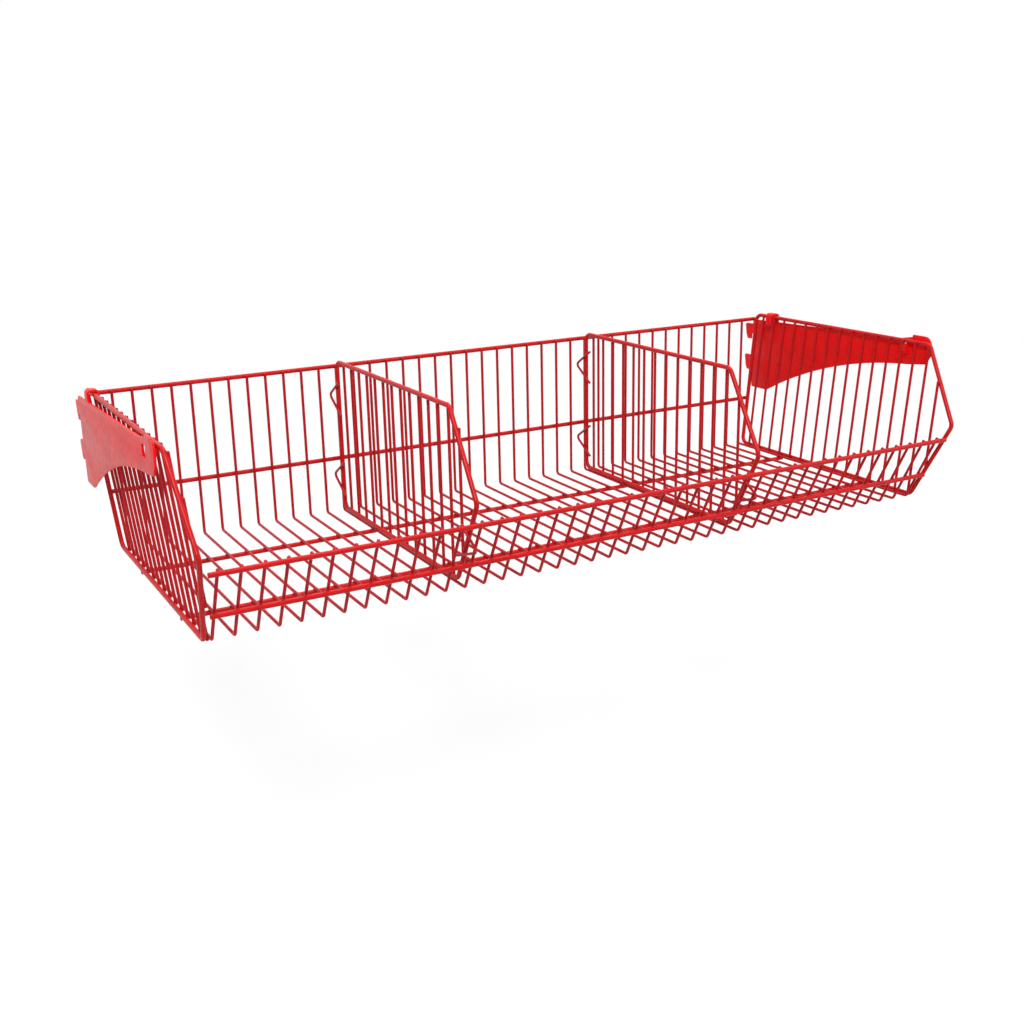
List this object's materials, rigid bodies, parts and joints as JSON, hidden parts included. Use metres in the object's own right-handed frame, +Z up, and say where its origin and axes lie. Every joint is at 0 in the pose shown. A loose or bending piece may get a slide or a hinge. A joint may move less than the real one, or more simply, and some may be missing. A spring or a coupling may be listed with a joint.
{
  "type": "wire basket rack",
  "caption": "Red wire basket shelf for slotted uprights, with leaning wire ends, lift-out wire dividers and hooked sheet-steel end brackets.",
  "frame": {"origin": "middle of the bounding box's bottom face, under the base rails", "axes": "+X to the right along the shelf bay, -Y to the front where the lip is, +Z up"},
  "size_m": [1, 0.4322, 0.2111],
  "materials": {
    "basket_wire_coat": "glossy powder coat",
    "rail_coat": "glossy powder coat",
    "end_panel_coat": "glossy powder coat",
    "divider_coat": "glossy powder coat",
    "clip_coat": "glossy powder coat",
    "bracket_coat": "glossy powder coat"
  },
  "bodies": {
    "brackets": {"bracket_left": "bracket_coat", "bracket_right": "bracket_coat"},
    "basket": {"basket_wire_01": "basket_wire_coat", "basket_wire_02": "basket_wire_coat", "basket_wire_03": "basket_wire_coat", "basket_wire_04": "basket_wire_coat", "basket_wire_05": "basket_wire_coat", "basket_wire_06": "basket_wire_coat", "basket_wire_07": "basket_wire_coat", "basket_wire_08": "basket_wire_coat", "basket_wire_09": "basket_wire_coat", "basket_wire_10": "basket_wire_coat", "basket_wire_11": "basket_wire_coat", "basket_wire_12": "basket_wire_coat", "basket_wire_13": "basket_wire_coat", "basket_wire_14": "basket_wire_coat", "basket_wire_15": "basket_wire_coat", "basket_wire_16": "basket_wire_coat", "basket_wire_17": "basket_wire_coat", "basket_wire_18": "basket_wire_coat", "basket_wire_19": "basket_wire_coat", "basket_wire_20": "basket_wire_coat", "basket_wire_21": "basket_wire_coat", "basket_wire_22": "basket_wire_coat", "basket_wire_23": "basket_wire_coat", "basket_wire_24": "basket_wire_coat", "basket_wire_25": "basket_wire_coat", "basket_wire_26": "basket_wire_coat", "basket_wire_27": "basket_wire_coat", "basket_wire_28": "basket_wire_coat", "basket_wire_29": "basket_wire_coat", "basket_wire_30": "basket_wire_coat", "basket_wire_31": "basket_wire_coat", "basket_wire_32": "basket_wire_coat", "basket_wire_33": "basket_wire_coat", "basket_wire_34": "basket_wire_coat", "basket_wire_35": "basket_wire_coat", "basket_wire_36": "basket_wire_coat", "basket_wire_37": "basket_wire_coat", "basket_wire_38": "basket_wire_coat", "basket_wire_39": "basket_wire_coat", "basket_wire_40": "basket_wire_coat", "basket_wire_41": "basket_wire_coat", "top_back_rail": "rail_coat", "mid_back_rail": "rail_coat", "base_rear_rail": "rail_coat", "base_front_rail": "rail_coat", "lip_lower_rail": "rail_coat", "lip_top_rail": "rail_coat", "end_panel_left": "end_panel_coat", "end_panel_right": "end_panel_coat"},
    "divider_left_frame": {"divider_left": "divider_coat", "divider_left_rear_clip_upper": "clip_coat", "divider_left_rear_clip_lower": "clip_coat", "divider_left_front_clip": "clip_coat"},
    "divider_right_frame": {"divider_right": "divider_coat", "divider_right_rear_clip_upper": "clip_coat", "divider_right_rear_clip_lower": "clip_coat", "divider_right_front_clip": "clip_coat"}
  },
  "joints": [
    {"name": "basket_tilt", "type": "hinge", "parent": "brackets", "child": "basket", "pos_m": [0, 0.14237, 0.2061], "axis": [-1, 0, 0], "range_deg": [0, 15]},
    {"name": "divider_left_lift", "type": "slide", "parent": "basket", "child": "divider_left_frame", "axis": [0, 0, 1], "range_m": [0, 0.21], "deforming": ["divider_left_rear_clip_upper", "divider_left_rear_clip_lower", "divider_left_front_clip"]},
    {"name": "divider_right_lift", "type": "slide", "parent": "basket", "child": "divider_right_frame", "axis": [0, 0, 1], "range_m": [0, 0.21], "deforming": ["divider_right_rear_clip_upper", "divider_right_rear_clip_lower", "divider_right_front_clip"]}
  ]
}
